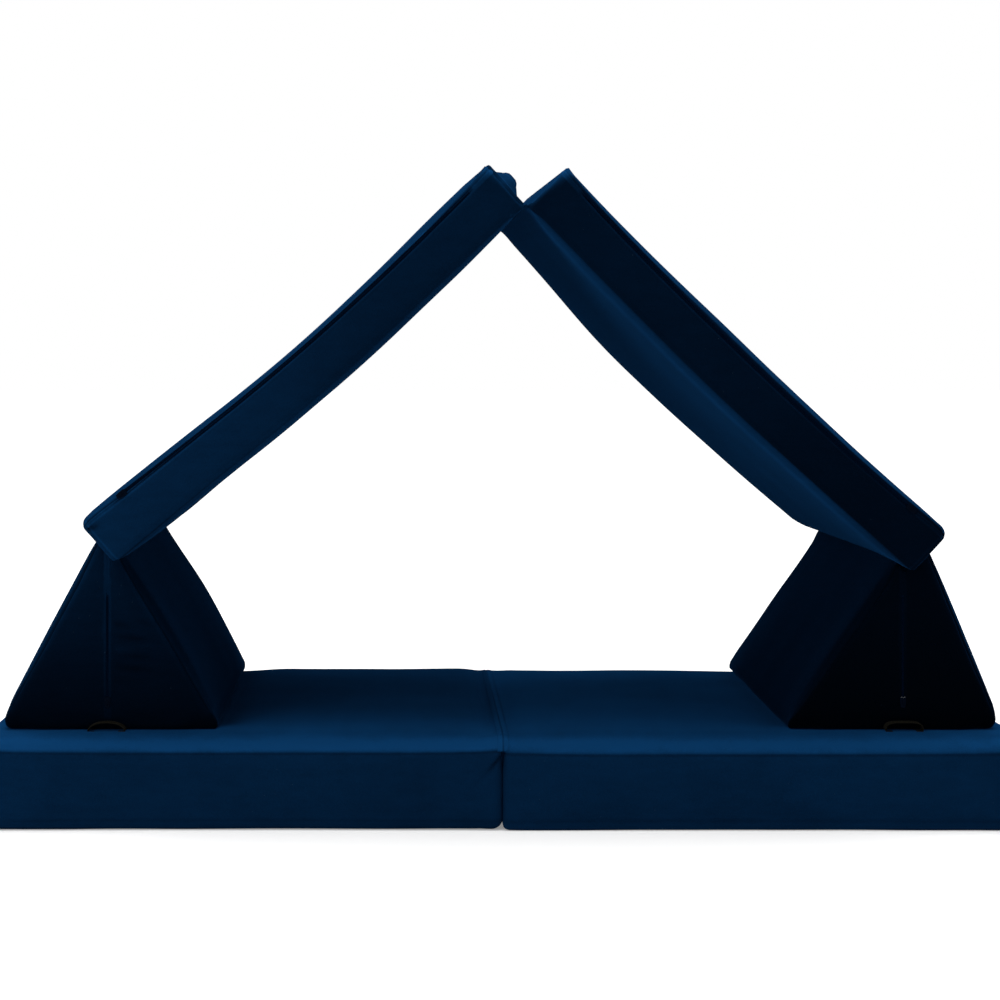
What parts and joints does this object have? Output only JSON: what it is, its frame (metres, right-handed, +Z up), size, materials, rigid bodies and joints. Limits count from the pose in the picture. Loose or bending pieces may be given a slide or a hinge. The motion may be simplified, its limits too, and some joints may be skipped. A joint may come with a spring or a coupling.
{
  "type": "modular foam play sofa",
  "caption": "Folding foam mats and triangular foam bolsters in zipped velour covers, set up as a den with a pitched roof; folds, lifts apart and unzips.",
  "frame": {"origin": "on the floor at the middle of the open thick mat, under its fold", "axes": "+X to the right along the long front side, +Y from the front to the back, +Z up"},
  "size_m": [1.5994, 0.801, 0.9877],
  "materials": {
    "navy_velour": "short-pile upholstery velour, deep navy, brushed nap",
    "seam_piping": "rolled velour seam along a fold",
    "foam_core": "open-cell polyurethane foam block",
    "zip_tape": "woven zip tape with a nylon coil",
    "zip_metal": "dark nickel, satin",
    "webbing": "plain woven webbing, grey brown"
  },
  "bodies": {
    "base_right_half": {"base_right_cover": "navy_velour", "base_right_foam": "foam_core", "base_right_zip": "zip_tape", "base_fold_seam": "seam_piping"},
    "base_left_half": {"base_left_cover": "navy_velour", "base_left_foam": "foam_core", "base_left_zip": "zip_tape"},
    "bolster_left": {"bolster_left_cover": "navy_velour", "bolster_left_foam": "foam_core", "bolster_left_zip": "zip_tape", "bolster_left_loop": "webbing"},
    "bolster_right": {"bolster_right_cover": "navy_velour", "bolster_right_foam": "foam_core", "bolster_right_zip": "zip_tape", "bolster_right_loop": "webbing"},
    "roof_ridge": {"roof_fold_seam": "seam_piping"},
    "roof_left_panel": {"roof_left_cover": "navy_velour", "roof_left_foam": "foam_core", "roof_left_zip": "zip_tape"},
    "roof_right_panel": {"roof_right_cover": "navy_velour", "roof_right_foam": "foam_core", "roof_right_zip": "zip_tape"},
    "base_right_slider": {"base_right_zip_slider": "zip_metal"},
    "base_left_slider": {"base_left_zip_slider": "zip_metal"},
    "bolster_left_slider": {"bolster_left_zip_slider": "zip_metal"},
    "bolster_right_slider": {"bolster_right_zip_slider": "zip_metal"},
    "roof_left_slider": {"roof_left_zip_slider": "zip_metal"},
    "roof_right_slider": {"roof_right_zip_slider": "zip_metal"}
  },
  "joints": [
    {"name": "base_fold", "type": "hinge", "parent": "base_right_half", "child": "base_left_half", "pos_m": [0, 0, 0.1405], "axis": [0, 1, 0], "range_deg": [0, 176]},
    {"name": "bolster_left_lift", "type": "slide", "parent": "base_right_half", "child": "bolster_left", "axis": [0, 0, 1], "range_m": [0, 2.53]},
    {"name": "bolster_right_lift", "type": "slide", "parent": "base_right_half", "child": "bolster_right", "axis": [0, 0, 1], "range_m": [0, 2.53]},
    {"name": "roof_lift", "type": "slide", "parent": "bolster_right", "child": "roof_ridge", "axis": [0, 0, 1], "range_m": [0, 0.5]},
    {"name": "roof_left_fold", "type": "hinge", "parent": "roof_ridge", "child": "roof_left_panel", "pos_m": [0.027, 0, 0.93095], "axis": [0, 1, 0], "range_deg": [0, 40]},
    {"name": "roof_right_fold", "type": "hinge", "parent": "roof_ridge", "child": "roof_right_panel", "pos_m": [0.027, 0, 0.93095], "axis": [0, -1, 0], "range_deg": [0, 42]},
    {"name": "base_right_zip_slide", "type": "slide", "parent": "base_right_half", "child": "base_right_slider", "axis": [-1, 0, 0], "range_m": [0, 0.62]},
    {"name": "base_left_zip_slide", "type": "slide", "parent": "base_left_half", "child": "base_left_slider", "axis": [1, 0, 0], "range_m": [0, 0.62]},
    {"name": "bolster_left_zip_slide", "type": "slide", "parent": "bolster_left", "child": "bolster_left_slider", "axis": [0, 0, 1], "range_m": [0, 0.15]},
    {"name": "bolster_right_zip_slide", "type": "slide", "parent": "bolster_right", "child": "bolster_right_slider", "axis": [0, 0, 1], "range_m": [0, 0.15]},
    {"name": "roof_left_zip_slide", "type": "hinge", "parent": "roof_left_panel", "child": "roof_left_slider", "pos_m": [-4.71035, 0, 5.73512], "axis": [0, -1, 0], "range_deg": [0, 5.7]},
    {"name": "roof_right_zip_slide", "type": "hinge", "parent": "roof_right_panel", "child": "roof_right_slider", "pos_m": [4.93957, 0, 5.55579], "axis": [0, 1, 0], "range_deg": [0, 5.7]}
  ],
  "couplings": [
    {"joint": "bolster_left_lift", "follows": "base_fold", "m_per_rad": 0.82},
    {"joint": "bolster_right_lift", "follows": "base_fold", "m_per_rad": 0.82}
  ]
}
